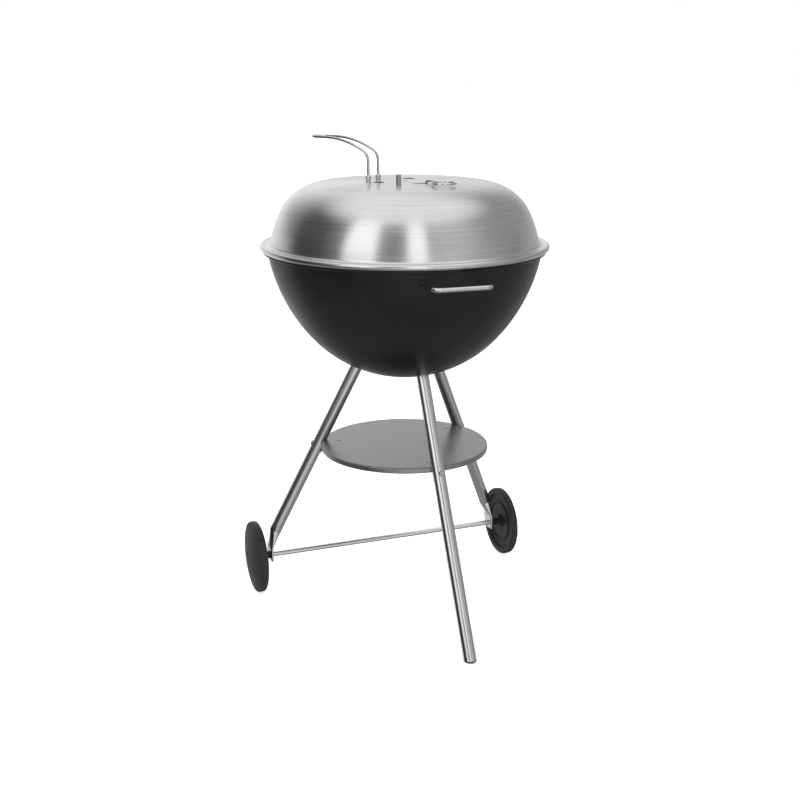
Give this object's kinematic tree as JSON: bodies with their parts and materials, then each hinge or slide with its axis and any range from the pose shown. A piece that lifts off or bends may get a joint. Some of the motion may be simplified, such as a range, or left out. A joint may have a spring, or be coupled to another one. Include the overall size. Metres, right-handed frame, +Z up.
{
  "type": "kettle charcoal grill",
  "caption": "Round kettle charcoal grill with a domed steel lid, black bowl, tube legs, ash tray, two wheels and turning air dampers.",
  "frame": {"origin": "on the floor under the kettle's axis", "axes": "+Z up, the axle parallel to X, the two wheels behind at +Y, the front foot at -Y"},
  "size_m": [0.624, 0.6942, 0.967],
  "materials": {
    "black_enamel": "satin black porcelain enamel",
    "brushed_steel": "stainless sheet brushed round the axis",
    "bright_wire": "polished stainless wire",
    "chrome_wire": "chromed grate wire",
    "grate_steel": "plain steel bars, slightly heat tinted",
    "zinc_steel": "zinc plated",
    "leg_tube": "stainless tube brushed along its length",
    "axle_steel": "drawn bright rod",
    "tray_steel": "matte grey aluminised sheet",
    "post_steel": "turned stainless",
    "damper_steel": "aluminised sheet",
    "black_plastic": "moulded black",
    "wheel_plastic": "moulded black, fine grain"
  },
  "bodies": {
    "kettle": {"bowl": "black_enamel", "bowl_handle_front": "bright_wire", "bowl_handle_rear": "bright_wire", "bowl_handle_nuts": "zinc_steel", "bowl_handle_washers": "zinc_steel", "cooking_brackets": "zinc_steel", "charcoal_brackets": "zinc_steel", "front_leg": "leg_tube", "left_leg": "leg_tube", "right_leg": "leg_tube", "leg_plugs": "zinc_steel", "leg_bolts": "zinc_steel", "leg_washers": "zinc_steel", "front_foot": "black_plastic", "axle": "axle_steel", "axle_spacer": "axle_steel", "axle_sleeves": "black_plastic", "axle_push_nuts": "zinc_steel", "ash_tray": "tray_steel", "tray_angles": "zinc_steel", "tray_screws": "zinc_steel", "tray_nuts": "zinc_steel", "tray_rivets": "zinc_steel"},
    "lid": {"lid_shell": "brushed_steel", "lid_handle": "bright_wire", "lid_handle_ferrules": "bright_wire", "lid_handle_washers": "zinc_steel", "lid_handle_nuts": "zinc_steel", "lid_post": "post_steel", "lid_post_nut": "zinc_steel", "lid_damper_rivet": "bright_wire"},
    "lid_damper": {"lid_damper_plate": "damper_steel", "lid_damper_ring": "bright_wire"},
    "bowl_damper": {"bowl_damper_plate": "damper_steel", "bowl_damper_pivot": "zinc_steel", "bowl_damper_lever": "damper_steel"},
    "left_wheel": {"wheel_left": "wheel_plastic", "hub_cap_left": "black_plastic"},
    "right_wheel": {"wheel_right": "wheel_plastic", "hub_cap_right": "black_plastic"},
    "cooking_grid": {"cooking_grate": "chrome_wire"},
    "charcoal_grid": {"charcoal_grate": "grate_steel"}
  },
  "joints": [
    {"name": "lid_lift", "type": "slide", "parent": "kettle", "child": "lid", "axis": [0, 0, 1], "range_m": [0, 0.35]},
    {"name": "lid_damper_turn", "type": "hinge", "parent": "lid", "child": "lid_damper", "pos_m": [0, 0, 0.88], "axis": [0, 0, 1], "range_deg": [-27, 0]},
    {"name": "bowl_damper_turn", "type": "hinge", "parent": "kettle", "child": "bowl_damper", "pos_m": [0, 0, 0.49], "axis": [0, 0, 1], "range_deg": [-40, 0]},
    {"name": "left_wheel_roll", "type": "hinge", "parent": "kettle", "child": "left_wheel", "pos_m": [-0.2933, 0.1294, 0.0767], "axis": [1, 0, 0], "continuous": true},
    {"name": "right_wheel_roll", "type": "hinge", "parent": "kettle", "child": "right_wheel", "pos_m": [0.2933, 0.1294, 0.0767], "axis": [1, 0, 0], "continuous": true},
    {"name": "cooking_grate_lift", "type": "slide", "parent": "kettle", "child": "cooking_grid", "axis": [0, 0, 1], "range_m": [0, 0.03]},
    {"name": "charcoal_grate_lift", "type": "slide", "parent": "kettle", "child": "charcoal_grid", "axis": [0, 0, 1], "range_m": [0, 0.03]}
  ]
}
